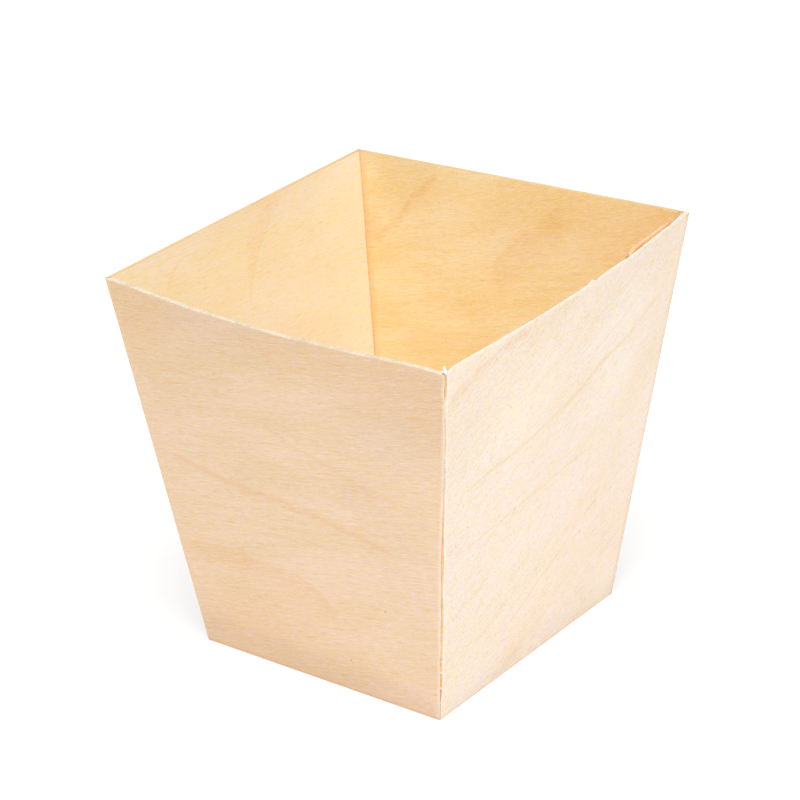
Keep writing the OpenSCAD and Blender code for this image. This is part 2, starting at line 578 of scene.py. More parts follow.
def tab_fibres():
    """Long fibres that run along the tab's edge where it was cut, one after the other."""
    rng = random.Random(7)
    bm = bmesh.new()
    tab = PANELS["tab"]
    for s, length in TAB_FIBRES:
        ends = []
        for along in (s, s + length):
            t = (along - tab.start) / (TAB_W - tab.start)
            rim = panel_ends_z(tab, t)[1]
            thinned = RIMS["tab"].thinned - tab_feather(along)
            inset = panel_inset(tab, t, 1, True) - thinned - TAB_FIBRE_OUT
            dip = rng.uniform(0, TAB_FIBRE_DIP)
            ends.append(wall_point("front", half_x(rim) - along, rim - dip, inset))
        sliver(bm, *ends, TAB_FIBRE_WIDTH, slot_of("tab_edge"), TAB_FIBRE_BLUNT)
    # The brown sliver past the tab's end: painted shade of the gap there
    root, tip = (wall_point("front", *place) for place in GAP_SHADE_SLIVER)
    sliver(bm, root, tip, GAP_SHADE_WIDTH, slot_of("gap_shade"), GAP_SHADE_BLUNT)
    return bm


# Fibres that still bridge the front fold's half cut: height of each and its thickness. Then how far they
# reach past the lips, how much they may slope, and how deep they lie.
TIES = (
    (54.8, 0.5), (52.6, 0.3), (46, 0.3), (44.4, 0.4), (41, 0.3), (35.4, 0.35), (13.6, 0.2),
    (10.6, 0.35), (8.4, 0.4), (5.6, 0.5), (3.1, 0.3),
)
TIE_REACH = 0.06
TIE_SLOPE = 0.15
TIE_INSET = 0.08
FOLD_FINISHES = ("fresh_edge", "splinter")

# The splinter at the top of the fold, and the frayed fibres at its foot: root and tip of each, as distance
# from the left wall's end, height over the rim and inset, then its width and how blunt it is
SPLINTERS = (
    ((0.27, -0.54, 0.31), (0.6, 0.6, 0.4), 0.55, 0.8),
    ((0.05, -0.14, 0.22), (0.8, -0.06, 0.3), 0.42, 0.7),
)


def fold_fibres():
    """Fibres across the open half cut of the front fold, and the splinter that stands up at its top."""
    rng = random.Random(4)
    bm = bmesh.new()
    for z, thick in TIES:
        reach = max(between_rows(FRONT_CUT, z)) + TIE_REACH
        ends = []
        for wall, x in (("front", reach - half_len("front", z)), ("left", half_len("left", z) - reach)):
            ends.append(wall_point(wall, x, z + rng.uniform(-TIE_SLOPE, TIE_SLOPE), TIE_INSET))
        sliver(bm, *ends, thick, FOLD_FINISHES.index("fresh_edge"))
    for *places, width, blunt in SPLINTERS:
        ends = [wall_point("left", RIM_Y / 2 - along, CUP_H + up, inset) for along, up, inset in places]
        sliver(bm, *ends, width, FOLD_FINISHES.index("splinter"), blunt)
    return bm


def tint(red, green, blue):
    """Linear colour of a screen colour, which is red, green and blue from 0 to 255."""
    def linear(c):
        c /= 255
        return c / 12.92 if c <= 0.04045 else ((c + 0.055) / 1.055) ** 2.4
    return (linear(red), linear(green), linear(blue), 1)


def feed(tree, socket, value):
    """Gives a socket its value, or links it to the socket that feeds it."""
    if isinstance(value, bpy.types.NodeSocket):
        tree.links.new(value, socket)
    else:
        socket.default_value = value


def put(tree, kind, inputs=None, **settings):
    """Adds a shader node. Each input is a value or the socket that feeds it."""
    node = tree.nodes.new("ShaderNode" + kind)
    for name, value in settings.items():
        setattr(node, name, value)
    for name, value in (inputs or {}).items():
        feed(tree, node.inputs[name], value)
    return node


def calc(tree, operation, a, b):
    return put(tree, "Math", {0: a, 1: b}, operation=operation).outputs[0]


def vector_calc(tree, operation, *inputs):
    """The vector worked out from one or two others, or a vector's length."""
    outputs = put(tree, "VectorMath", dict(enumerate(inputs)), operation=operation).outputs
    return outputs["Value" if operation == "LENGTH" else "Vector"]


def step_up(tree, value, low, high):
    """A soft step: 0 below low and 1 above high."""
    inputs = {"Value": value, "From Min": low, "From Max": high}
    node = put(tree, "MapRange", inputs, interpolation_type="SMOOTHSTEP")
    return node.outputs["Result"]


def above_and_below(tree, value):
    """How far a value is above 0, and how far below it."""
    below = calc(tree, "MAXIMUM", calc(tree, "MULTIPLY", value, -1.0), 0.0)
    return calc(tree, "MAXIMUM", value, 0.0), below


def weighted(tree, a, share_a, b, share_b):
    return calc(tree, "ADD", calc(tree, "MULTIPLY", a, share_a), calc(tree, "MULTIPLY", b, share_b))


def blend(tree, kind, factor, a, b):
    """Colour a, with colour b blended over it by factor."""
    node = put(tree, "Mix", {"Factor": factor}, data_type="RGBA", blend_type=kind)
    for name, value in (("A_Color", a), ("B_Color", b)):
        feed(tree, next(s for s in node.inputs if s.identifier == name), value)
    return next(s for s in node.outputs if s.identifier == "Result_Color")


def lay_over(tree, colour, mask, strength, over):
    """The colour, with another laid over it where the mask is, as strongly as strength."""
    return blend(tree, "MIX", calc(tree, "MULTIPLY", mask, strength), colour, tint(*over))


def node_group(name, vectors, values, results):
    """An empty shader group: the names of its vector inputs, its value inputs and its results."""
    tree = bpy.data.node_groups.new(name, "ShaderNodeTree")
    for way, kind, sockets in (
        ("INPUT", "NodeSocketVector", vectors), ("INPUT", "NodeSocketFloat", values),
        ("OUTPUT", "NodeSocketFloat", results),
    ):
        for socket in sockets:
            tree.interface.new_socket(name=socket, in_out=way, socket_type=kind)
    return tree, tree.nodes.new("NodeGroupInput").outputs, tree.nodes.new("NodeGroupOutput").inputs


def use_group(tree, group, inputs):
    return put(tree, "Group", inputs, node_tree=group).outputs


# Noise in the net: its size along and over the grain in millimetres, the shift of the net that makes it
# another noise, its detail and its roughness. SHIFT_OVER is the share of the shift that goes over the grain.
Grain = namedtuple("Grain", "along over shift detail roughness", defaults=(2.0, 0.5))
FIBRE_GRAINS = {
    "fine": Grain(1.6, 0.2, 3, 2, 0.65),
    "speck": Grain(0.36, 0.26, 17, 1),
    "long": Grain(9, 0.3, 43, 1),
    "tinge": Grain(1.8, 0.65, 29, 1, 0.4),
    "broad": Grain(9, 0.9, 11),
    "pore": Grain(3.0, 0.24, 23, 1.5),
    "glint": Grain(2.6, 0.22, 37, 1.5),
    "cloud": Grain(28, 9, 51),
}
LINE_SWAY = Grain(5, 2.5, 71)
LINE_GAPS = Grain(3, 0.6, 83)
SHIFT_OVER = 0.7

# Share of the fine noise in the streaks, and of the pores in the bump
FINE_SHARE = 0.75
PORE_DEPTH = 0.3

# Values of the noise between which a pore and a glint come up
PORE_EDGES = (0.58, 0.72)
GLINT_EDGES = (0.6, 0.74)


def grain_noise(tree, net, grain):
    turns = (1 / grain.along, 1 / grain.over, 1)
    size = vector_calc(tree, "MULTIPLY", net, turns)
    shift = (grain.shift, grain.shift * SHIFT_OVER, grain.shift)
    place = vector_calc(tree, "ADD", size, shift)
    inputs = {"Vector": place, "Scale": 1.0, "Detail": grain.detail, "Roughness": grain.roughness}
    return put(tree, "TexNoise", inputs).outputs["Fac"]


def fibre_group():
    """Fibres of rotary-cut veneer: streaks, short dark pores, slow clouds and a height for the bump."""
    results = ("Streak", "Broad", "Pore", "Glint", "Cloud", "Tinge", "Height")
    tree, given, made = node_group("Veneer fibre", ["Net"], ["Specks", "Long"], results)
    grains = {name: grain_noise(tree, given["Net"], grain) for name, grain in FIBRE_GRAINS.items()}
    fine, speck, long, tinge = (
        calc(tree, "SUBTRACT", grains[name], 0.5) for name in ("fine", "speck", "long", "tinge")
    )
    streak = weighted(tree, fine, FINE_SHARE, speck, given["Specks"])
    streak = calc(tree, "ADD", streak, calc(tree, "MULTIPLY", long, given["Long"]))
    height = calc(tree, "SUBTRACT", streak, calc(tree, "MULTIPLY", grains["pore"], PORE_DEPTH))
    pores = step_up(tree, grains["pore"], *PORE_EDGES)
    glints = step_up(tree, grains["glint"], *GLINT_EDGES)
    values = (streak, grains["broad"], pores, glints, grains["cloud"], tinge, height)
    for name, value in zip(results, values):
        tree.links.new(value, made[name])
    return tree


def growth_line_group():
    """Mask of one growth line. Run goes from 0 to 1 along it, and Middle places it across the grain."""
    inputs = ("Across", "Middle", "Low", "High", "Run", "Above", "Below", "Fade", "Break")
    tree, given, made = node_group("Growth line", [], inputs, ["Mask"])
    span = calc(tree, "SUBTRACT", given["High"], given["Low"])
    middle = calc(tree, "ADD", given["Low"], calc(tree, "MULTIPLY", given["Middle"], span))
    off = calc(tree, "SUBTRACT", given["Across"], middle)
    mask = given["Break"]
    for side in (
        step_up(tree, off, given["Above"], 0.0),
        step_up(tree, calc(tree, "MULTIPLY", off, -1.0), given["Below"], 0.0),
        step_up(tree, given["Run"], 0.0, given["Fade"]),
        step_up(tree, calc(tree, "SUBTRACT", 1.0, given["Run"]), 0.0, given["Fade"]),
    ):
        mask = calc(tree, "MULTIPLY", mask, side)
    tree.links.new(mask, made["Mask"])
    return tree


def patch_group():
    """Mask of a soft oval patch in the net, centred on Place and reaching as far as Reach."""
    tree, given, made = node_group("Patch", ["Net", "Place", "Reach"], [], ["Mask"])
    off = vector_calc(tree, "SUBTRACT", given["Net"], given["Place"])
    radius = vector_calc(tree, "LENGTH", vector_calc(tree, "DIVIDE", off, given["Reach"]))
    tree.links.new(step_up(tree, radius, 1.0, 0.0), made["Mask"])
    return tree


GROUPS = {"fibre": fibre_group(), "line": growth_line_group(), "patch": patch_group()}

# Growth lines and patches are drawn in wall coordinates: along the wall from its middle, left to right as
# seen from outside, and the height. A line has its strength and its reach above and below in millimetres.
# A band runs up the wall beside its right or left end, or along its foot, from near to far in millimetres.
# A finish has two ground colours, the strengths of fibres, specks, long fibres and pores, then its figure.
Line = namedtuple("Line", "colour strength above below points fade", defaults=(0.12,))
Patch = namedtuple("Patch", "colour strength place reach")
Band = namedtuple("Band", "colour strength side near far")
Finish = namedtuple(
    "Finish", "pale tan fibre specks long pores lines patches bands",
    defaults=(0.7, 0.45, 0.1, 0.22, (), (), ()),
)

OLIVE = (228, 190, 128)
HONEY = (240, 206, 152)
ORANGE = (226, 172, 110)
AMBER = (226, 158, 74)
PINK = (240, 200, 172)
MAUVE = (205, 165, 142)
CREAM = (252, 240, 214)
UMBER = (168, 108, 66)
WHITE = (255, 252, 246)
SILVER = (240, 226, 208)
RUST = (196, 118, 62)

# What the colour is multiplied by where the wood is yellower or pinker, and the colours of its fibres
YELLOWER = (1.0, 0.97, 0.5, 1)
PINKER = (1.0, 0.98, 1.5, 1)
DARK_FIBRE = (216, 164, 104)
PALE_FIBRE = (255, 250, 236)

# Growth lines and patches of each finish that has them
FRONT_LINES = (
    Line(HONEY, 0.4, 0.5, 0.9, ((-25.3, 37.2), (-19.5, 38.7), (-9.5, 40.3), (-2.8, 41.8),
                                (3.8, 43.7), (9.7, 46.3), (15.5, 47.6), (21.3, 50.1), (28, 52.2))),
    Line(HONEY, 0.3, 0.4, 0.4, ((-2.8, 40.3), (0.6, 41.9), (3.8, 43.4))),
    Line(HONEY, 0.34, 0.4, 0.45, ((-25.3, 27.6), (-11.2, 29.2), (1.3, 30.9), (12.2, 31.8))),
    Line(HONEY, 0.28, 0.4, 0.4, ((-22.4, 16.5), (-17, 18.8), (-13.7, 20.9))),
    Line(HONEY, 0.34, 0.4, 0.4, ((-15.3, 9.7), (-9.5, 12.6), (-4.5, 15.1))),
    Line(HONEY, 0.34, 0.4, 0.4, ((-7.8, 8.4), (-2.8, 10.9), (1.3, 13.8), (7.2, 15.9))),
    Line(HONEY, 0.28, 0.4, 0.4, ((-10.3, 48), (-4.5, 50.9), (1.3, 53.8))),
    Line(HONEY, 0.28, 0.4, 0.4, ((3, 53.8), (11.3, 56.8), (19.7, 60))),
    Line(HONEY, 0.26, 0.4, 0.35, ((8, 22.2), (9.6, 24.2), (11.3, 26.3))),
    Line(ORANGE, 0.3, 0.16, 0.2, ((-22.5, 16.4), (-20.6, 17.6), (-18.8, 18.8)), 0.2),
    Line(ORANGE, 0.3, 0.16, 0.2, ((-13.8, 11.1), (-11.1, 12.4), (-8.5, 13.8)), 0.2),
    Line(ORANGE, 0.3, 0.16, 0.2, ((7.8, 49.4), (11.8, 51), (15.7, 52.6)), 0.2),
    Line(UMBER, 0.25, 0.3, 0.3, ((11, 19.6), (12.6, 20.3), (14.5, 21.2)), 0.3),
    Line(ORANGE, 0.2, 1.2, 2.0, ((-29.5, 54), (-24, 57), (-11, 60))),
)
FRONT_PATCHES = (
    Patch(PINK, 0.12, (14, 14), (30, 22)),
    Patch(CREAM, 0.35, (-14, 46), (26, 14)),
    Patch(RUST, 0.06, (-4.5, 2.2), (5, 2.2)),
    Patch(UMBER, 0.6, (10.3, 16.8), (0.3, 0.22)),
    Patch(UMBER, 0.5, (-7, 35.5), (0.28, 0.2)),
    Patch(UMBER, 0.75, (16.9, 61.5), (0.3, 0.22)),
    Patch(UMBER, 0.35, (15.3, 61.3), (0.4, 0.15)),
    Patch(UMBER, 0.35, (22.1, 61.7), (0.3, 0.2)),
    Patch((236, 221, 202), 0.5, (-25, 48), (11, 13)),
    Patch((238, 213, 178), 0.34, (-8, 61), (36, 10)),
    Patch((232, 224, 214), 0.2, (-17, 40), (10, 8)),
    Patch((255, 248, 244), 0.3, (14, 41), (13, 8)),
    Patch((252, 222, 180), 0.28, (26, 54), (10, 5)),
    Patch((246, 222, 194), 0.22, (15, 27), (11, 8)),
    Patch((248, 218, 184), 0.22, (-3, 6), (15, 6)),
    Patch((236, 225, 209), 0.4, (-27, 28), (16, 44)),
    Patch((252, 243, 232), 0.45, (14, 51), (14, 10)),
    # Painted light: a pale pink patch that lifts and warms the shade at the foot near the seam
    Patch((255, 240, 226), 0.5, (20, 4), (8, 8)),
    Patch((206, 166, 116), 0.7, (29.9, 61.9), (0.6, 0.6)),
)
LEFT_LINES = (
    Line(ORANGE, 0.3, 1.3, 1.3, ((-25.7, 33), (-19.5, 32.2), (-11, 30.9), (-2.8, 30.5),
                                 (3.8, 29.7), (11.3, 28.4), (19.7, 26.8))),
    Line(OLIVE, 0.3, 0.3, 0.3, ((-25.7, 34), (-17, 34.3), (-5.3, 36))),
    Line(ORANGE, 0.18, 1.0, 1.0, ((-4.5, 45), (1.3, 41.3), (7.2, 39.7), (14.7, 37), (21.3, 36))),
    Line(ORANGE, 0.24, 0.5, 6.0, ((-23.7, 17.9), (-15.3, 18.3), (-7, 18.2), (-0.3, 17.4),
                                  (3.8, 14.7), (6.3, 12.2), (7.2, 8.8))),
    Line(MAUVE, 0.2, 2.5, 9.0, ((-23, 4.5), (-10, 4), (5, 3.2), (21, 2.2)), 0.02),
    Line(OLIVE, 0.3, 0.2, 0.3, ((-27, 46.4), (-20, 47.5), (-12, 48.6), (-5, 49.6))),
    Line(AMBER, 0.34, 0.18, 0.22, ((-29.6, 56.8), (-28.3, 56.9), (-27.1, 57.0)), 0.2),
    Line(AMBER, 0.3, 0.18, 0.22, ((-24.5, 49.1), (-22.1, 49.4), (-19.8, 49.6)), 0.2),
    Line(AMBER, 0.26, 0.16, 0.2, ((-20.2, 47.8), (-18.4, 48.1), (-15.2, 48.4)), 0.2),
    Line(AMBER, 0.26, 0.16, 0.2, ((-12.5, 46.5), (-10.8, 46.7), (-8.9, 46.9)), 0.2),
    Line(AMBER, 0.24, 0.16, 0.2, ((-17.6, 42.6), (-15.9, 42.8), (-14.2, 43)), 0.2),
)
LEFT_PATCHES = (
    Patch(PINK, 0.2, (-6, 10), (24, 9)),
    Patch((222, 206, 188), 0.4, (19, 46), (14, 7)),
    Patch((214, 180, 144), 0.3, (12, 36), (8, 5)),
    Patch((222, 198, 176), 0.22, (19, 26), (13, 16)),
    Patch((238, 196, 160), 0.18, (-15, 6), (13, 8)),
    Patch((240, 212, 198), 0.35, (17, 3), (12, 6)),
    Patch(MAUVE, 0.1, (-14, 58), (20, 6)),
    Patch(MAUVE, 0.16, (6, 62), (40, 10)),
    Patch((214, 176, 138), 0.5, (27, 56), (26, 18)),
    Patch(UMBER, 0.7, (14.1, 16.5), (0.3, 0.22)),
    Patch(UMBER, 0.6, (6.4, 5.5), (0.3, 0.22)),
    Patch(UMBER, 0.6, (4.5, 2.2), (0.28, 0.22)),
    Patch((190, 132, 84), 0.6, (21.3, 4.4), (0.85, 0.16)),
    Patch(AMBER, 0.3, (22.6, 15.9), (0.8, 0.25)),
    Patch((229, 190, 138), 0.5, (-26, 54), (18, 12)),
    Patch((224, 186, 142), 0.28, (8, 57), (24, 8)),
)
BACK_OUTSIDE_LINES = (
    Line(ORANGE, 0.25, 1.2, 2.4, ((-26, 40), (-12, 36), (2, 35), (14, 37), (26, 42))),
    Line(OLIVE, 0.35, 0.3, 0.5, ((-24, 22), (-8, 19), (8, 20), (22, 25))),
    Line(OLIVE, 0.3, 0.3, 0.4, ((-20, 52), (-6, 48), (8, 49), (20, 53))),
)
RIGHT_OUTSIDE_LINES = (
    Line(ORANGE, 0.22, 1.0, 2.4, ((-26, 46), (-12, 41), (4, 38), (24, 30))),
    Line(OLIVE, 0.35, 0.3, 0.5, ((-24, 30), (-8, 24), (8, 21), (22, 14))),
    Line(OLIVE, 0.3, 0.3, 0.4, ((-18, 56), (-4, 52), (12, 47), (26, 40))),
)
BACK_INSIDE_LINES = (
    Line(AMBER, 0.12, 9.0, 0.6, ((-9.7, 59.3), (-5.5, 55.9), (-1.3, 51.3), (2, 43.8))),
    Line(AMBER, 0.15, 0.9, 0.9, ((15, 58), (17.4, 55.8), (19.5, 53.8)), 0.3),
)
BACK_INSIDE_PATCHES = (
    Patch(RUST, 0.15, (7.7, 53.2), (0.4, 0.3)),
    Patch(RUST, 0.2, (-22.3, 46.9), (0.4, 0.3)),
    Patch((244, 232, 214), 0.6, (-24, 30), (20, 22)),
    Patch(AMBER, 0.08, (20, 45), (20, 18)),
    Patch(AMBER, 0.13, (0, 61), (40, 8)),
    Patch((250, 238, 214), 0.28, (-12, 41), (12, 12)),
)
RIGHT_INSIDE_LINES = (
    Line(AMBER, 0.25, 1.0, 1.4, ((14, 59.3), (18.7, 55), (22, 50.5), (27, 46.3))),
    Line(AMBER, 0.19, 1.2, 9.0, ((-9.7, 59), (-3.8, 53.8), (1.2, 49.7), (3.7, 44.7))),
)
RIGHT_INSIDE_PATCHES = (
    Patch((232, 182, 112), 0.6, (-27, 48), (20, 26)),
    Patch(AMBER, 0.2, (-29.5, 59), (10, 9)),
    Patch(CREAM, 0.12, (8, 57), (16, 8)),
    Patch((214, 188, 146), 0.2, (20, 56), (14, 18)),
    Patch(AMBER, 0.25, (27, 48.5), (4, 4)),
    Patch(AMBER, 0.14, (-5, 55), (20, 9)),
    Patch((250, 224, 178), 0.25, (1, 43), (8, 4)),
    Patch((246, 228, 192), 0.3, (12, 37), (7, 6)),
)

FINISHES = {
    "front_outside": Finish(
        (246, 231, 217), (244, 227, 203), 1.15, 0.8, 0.3, 0.14,
        lines=FRONT_LINES, patches=FRONT_PATCHES,
        bands=(Band(WHITE, 0.7, "left", 0.0, 0.5), Band(ORANGE, 0.2, "right", 0.0, 1.4),
               Band(ORANGE, 0.3, "foot", 0.0, 0.5)),
    ),
    "left_outside": Finish(
        (234, 206, 178), (229, 200, 163), 0.8, 0.4, 0.3, 0.28,
        lines=LEFT_LINES, patches=LEFT_PATCHES,
        bands=(Band(SILVER, 0.6, "right", 0.1, 0.7), Band(ORANGE, 0.5, "left", 0.0, 0.4),
               Band(ORANGE, 0.3, "foot", 0.0, 0.9), Band(RUST, 0.45, "foot", 0.0, 0.22)),
    ),
    "back_outside": Finish(
        (244, 222, 196), (238, 212, 182),
        lines=BACK_OUTSIDE_LINES,
        patches=(Patch(PINK, 0.2, (8, 14), (26, 14)),),
    ),
    "right_outside": Finish(
        (245, 226, 203), (239, 216, 188),
        lines=RIGHT_OUTSIDE_LINES,
        patches=(Patch(CREAM, 0.25, (-8, 48), (24, 12)),),
    ),
    "front_inside": Finish((246, 224, 184), (240, 212, 164)),
    "left_inside": Finish((241, 222, 188), (236, 213, 174)),
    "back_inside": Finish(
        (243, 229, 202), (242, 224, 182), 0.7,
        lines=BACK_INSIDE_LINES, patches=BACK_INSIDE_PATCHES,
        # Painted light: the cream bands make the back wall paler towards its crease with the right wall
        bands=(Band(CREAM, 0.35, "left", 0.0, 1.2), Band(CREAM, 0.5, "left", 0.0, 16)),
    ),
    "right_inside": Finish(
        (240, 219, 175), (237, 207, 147), 0.85,
        lines=RIGHT_INSIDE_LINES, patches=RIGHT_INSIDE_PATCHES,
        # Painted shade: the rusty and orange bands darken the right wall towards its crease with the back
        # wall
        bands=(Band(RUST, 0.5, "right", 0.0, 0.36), Band(AMBER, 0.3, "right", 0.0, 1.8)),
    ),
    "back_floor": Finish((222, 206, 176), (214, 194, 158)),
    # Painted light: the tab's outer face is orange, though the sheet's outer side is pale, for the glow in
    # the gap
    "tab_outside": Finish((235, 192, 131), (229, 180, 116)),
    "tab_inside": Finish((240, 214, 172), (232, 200, 152)),
}

# The inside shows another layer of the wood, so its noise is read this far off in the net
INSIDE_SHIFT = (0, 400, 0)

# Millimetres of room on both sides of a growth line's curve, and how far the line strays from its drawn
# course. Then how much of it is left in its gaps, and the values of the noise between which a gap closes.
LINE_MARGIN = 1
LINE_STRAY = 0.9
GAP_LEFT = 0.4
GAP_EDGES = (0.32, 0.52)

# The ground colours are mixed by slow clouds and broader streaks, and change over between these values
CLOUD_SHARE = 0.7
GROUND_EDGES = (0.36, 0.64)

GLINT_STRENGTH = 0.25

# Roughness, specular level, and strength and depth of the bump: for the sheet's faces, and for torn wood
Surface = namedtuple("Surface", "roughness specular bump depth")
SKIN = Surface(0.8, 0.25, 0.35, 0.04)
TORN = Surface(0.9, 0.15, 0.5, 0.1)


def growth_line(tree, across_grain, along_it, name, line, broken):
    """Adds one growth line of a wall's figure, and gives its mask."""
    points = sorted(net_point(name, x, z)[:] for x, z in line.points)
    u0, u1 = points[0][0], points[-1][0]
    low = min(v for _, v in points) - LINE_MARGIN
    high = max(v for _, v in points) + LINE_MARGIN
    run = put(tree, "MapRange", {"Value": along_it, "From Min": u0, "From Max": u1}, clamp=False)
    curve = put(tree, "FloatCurve", {"Value": run.outputs[0]})
    bends = curve.mapping.curves[0].points
    shares = [((u - u0) / (u1 - u0), (v - low) / (high - low)) for u, v in points]
    bends[0].location = shares[0]
    bends[1].location = shares[-1]
    for share in shares[1:-1]:
        bends.new(*share)
    curve.mapping.update()
    return use_group(tree, GROUPS["line"], {
        "Across": across_grain, "Middle": curve.outputs[0], "Low": low, "High": high,
        "Run": run.outputs[0], "Above": line.above, "Below": line.below, "Fade": line.fade,
        "Break": broken,
    })["Mask"]


def with_patches(tree, colour, panel, flat, patches):
    for patch in patches:
        inputs = {"Net": flat, "Place": (*net_point(panel, *patch.place), 0), "Reach": (*patch.reach, 1)}
        mask = use_group(tree, GROUPS["patch"], inputs)["Mask"]
        colour = lay_over(tree, colour, mask, patch.strength, patch.colour)
    return colour


def with_growth_lines(tree, colour, panel, flat, net, lines):
    place = put(tree, "SeparateXYZ", {0: flat}).outputs
    sway = calc(tree, "SUBTRACT", grain_noise(tree, net, LINE_SWAY), 0.5)
    across_grain = calc(tree, "ADD", place["Y"], calc(tree, "MULTIPLY", sway, LINE_STRAY))
    gaps = step_up(tree, grain_noise(tree, net, LINE_GAPS), *GAP_EDGES)
    broken = calc(tree, "ADD", calc(tree, "MULTIPLY", gaps, 1 - GAP_LEFT), GAP_LEFT)
    for line in lines:
        mask = growth_line(tree, across_grain, place["X"], panel, line, broken)
        colour = lay_over(tree, colour, mask, line.strength, line.colour)
    return colour


def with_bands(tree, colour, bands):
    ends = put(tree, "UVMap", uv_map="ends").outputs["UV"]
    away = put(tree, "SeparateXYZ", {0: ends}).outputs
    place = put(tree, "TexCoord").outputs["Object"]
    up = put(tree, "SeparateXYZ", {0: place}).outputs["Z"]
    sides = {"right": away["X"], "left": away["Y"], "foot": calc(tree, "DIVIDE", up, MM)}
    for band in bands:
        mask = step_up(tree, sides[band.side], band.far, band.near)
        colour = lay_over(tree, colour, mask, band.strength, band.colour)
    return colour


def with_fibres(tree, colour, fibre, finish):
    """The colour with its tinges, fibres, pores and glints."""
    yellower, pinker = above_and_below(tree, fibre["Tinge"])
    colour = blend(tree, "MULTIPLY", yellower, colour, YELLOWER)
    colour = blend(tree, "MULTIPLY", pinker, colour, PINKER)
    darker, paler = above_and_below(tree, calc(tree, "MULTIPLY", fibre["Streak"], finish.fibre))
    colour = blend(tree, "MULTIPLY", darker, colour, tint(*DARK_FIBRE))
    colour = blend(tree, "MIX", paler, colour, tint(*PALE_FIBRE))
    colour = lay_over(tree, colour, fibre["Pore"], finish.pores, AMBER)
    return lay_over(tree, colour, fibre["Glint"], GLINT_STRENGTH * finish.fibre, CREAM)


def new_material(name):
    material = bpy.data.materials.new(name)
    material.use_nodes = True
    return material, material.node_tree


def finish_wood(tree, surface, colour, height=None):
    """Gives the shader of bare wood its surface and its colour, and a bump where there is a height."""
    shader = tree.nodes["Principled BSDF"].inputs
    feed(tree, shader["Roughness"], surface.roughness)
    feed(tree, shader["Specular IOR Level"], surface.specular)
    feed(tree, shader["Base Color"], colour)
    if height:
        bump = {"Strength": surface.bump, "Distance": surface.depth * MM, "Height": height}
        feed(tree, shader["Normal"], put(tree, "Bump", bump).outputs["Normal"])


def veneer_material(name):
    """Bare veneer on one side of one panel, with its own figure."""
    finish = FINISHES[name]
    panel = name.split("_")[0]
    material, tree = new_material(name)
    flat = put(tree, "UVMap", uv_map="net").outputs["UV"]
    net = flat
    if name.endswith("inside"):
        net = vector_calc(tree, "ADD", flat, INSIDE_SHIFT)
    fibre = use_group(tree, GROUPS["fibre"], {"Net": net, "Specks": finish.specks, "Long": finish.long})
    mottle = weighted(tree, fibre["Cloud"], CLOUD_SHARE, fibre["Broad"], 1 - CLOUD_SHARE)
    clouded = step_up(tree, mottle, *GROUND_EDGES)
    colour = blend(tree, "MIX", clouded, tint(*finish.pale), tint(*finish.tan))
    colour = with_patches(tree, colour, panel, flat, finish.patches)
    if finish.lines:
        colour = with_growth_lines(tree, colour, panel, flat, net, finish.lines)
    if finish.bands:
        colour = with_bands(tree, colour, finish.bands)
    colour = with_fibres(tree, colour, fibre, finish)
    finish_wood(tree, SKIN, colour, fibre["Height"])
    return material


# How fine the fuzz on torn wood and its slow drift are, the share of the fuzz in the two, and the values
# between which it darkens
FUZZ_SCALE = 2600.0
DRIFT_SCALE = 300.0
FUZZ_SHARE = 0.55
FUZZ_EDGES = (0.4, 0.62)


def fuzz_group():
    """Fuzzy end fibres that run every way: one value for colour and height."""
    tree, _, made = node_group("End fibres", [], [], ["Fuzz", "Height in cup"])
    place = put(tree, "TexCoord").outputs["Object"]
    inputs = {"Vector": place, "Scale": FUZZ_SCALE, "Detail": 3.0, "Roughness": 0.7}
    fuzz = put(tree, "TexNoise", inputs).outputs["Fac"]
    drift = put(tree, "TexNoise", {"Vector": place, "Scale": DRIFT_SCALE, "Detail": 2.0})
    both = weighted(tree, fuzz, FUZZ_SHARE, drift.outputs["Fac"], 1 - FUZZ_SHARE)
    tree.links.new(both, made["Fuzz"])
    up = put(tree, "SeparateXYZ", {0: place}).outputs["Z"]
    tree.links.new(calc(tree, "DIVIDE", up, CUP_H * MM), made["Height in cup"])
    return tree


FUZZ = fuzz_group()


def edge_material(name, pale, dark):
    """Cut or torn wood, from pale to dark."""
    material, tree = new_material(name)
    fuzz = use_group(tree, FUZZ, {})["Fuzz"]
    colour = blend(tree, "MIX", step_up(tree, fuzz, *FUZZ_EDGES), tint(*pale), tint(*dark))
    finish_wood(tree, TORN, colour, fuzz)
    return material


# Colour down the open half cut, from the base to the rim: raw and orange at both ends, pale between
SCORE_SHADES = (
    (0, (238, 192, 138)), (3.6, (240, 196, 142)), (4.6, (250, 206, 156)),
    (7, (250, 212, 158)), (9.6, (252, 226, 190)), (14, (250, 230, 192)),
    (19, (248, 218, 172)), (22.6, (244, 222, 188)), (27.8, (248, 210, 164)),
    (33, (244, 216, 172)), (38, (248, 226, 190)), (43.5, (252, 238, 216)),
    (48.7, (250, 228, 192)), (52, (252, 238, 210)), (54.8, (252, 240, 212)),
    (56.5, (243, 212, 160)), (59, (243, 216, 162)),
)

# Rusty speckle in the open cut: its strength, and the values of the fuzz between which it comes up
SPECKLE = 0.18
SPECKLE_EDGES = (0.45, 0.6)


def open_score_material():
    """Torn wood at the bottom of an open half cut."""
    material, tree = new_material("open_score")
    fibres = use_group(tree, FUZZ, {})
    shades = put(tree, "ValToRGB", {"Fac": fibres["Height in cup"]})
    stops = shades.color_ramp.elements
    for stop, (height, colour) in zip((stops[0], stops[1]), (SCORE_SHADES[0], SCORE_SHADES[-1])):
        stop.position = height / CUP_H
        stop.color = tint(*colour)
    for height, colour in SCORE_SHADES[1:-1]:
        stops.new(height / CUP_H).color = tint(*colour)
    speckle = step_up(tree, fibres["Fuzz"], *SPECKLE_EDGES)
    colour = lay_over(tree, shades.outputs["Color"], speckle, SPECKLE, RUST)
    finish_wood(tree, TORN, colour)
    return material


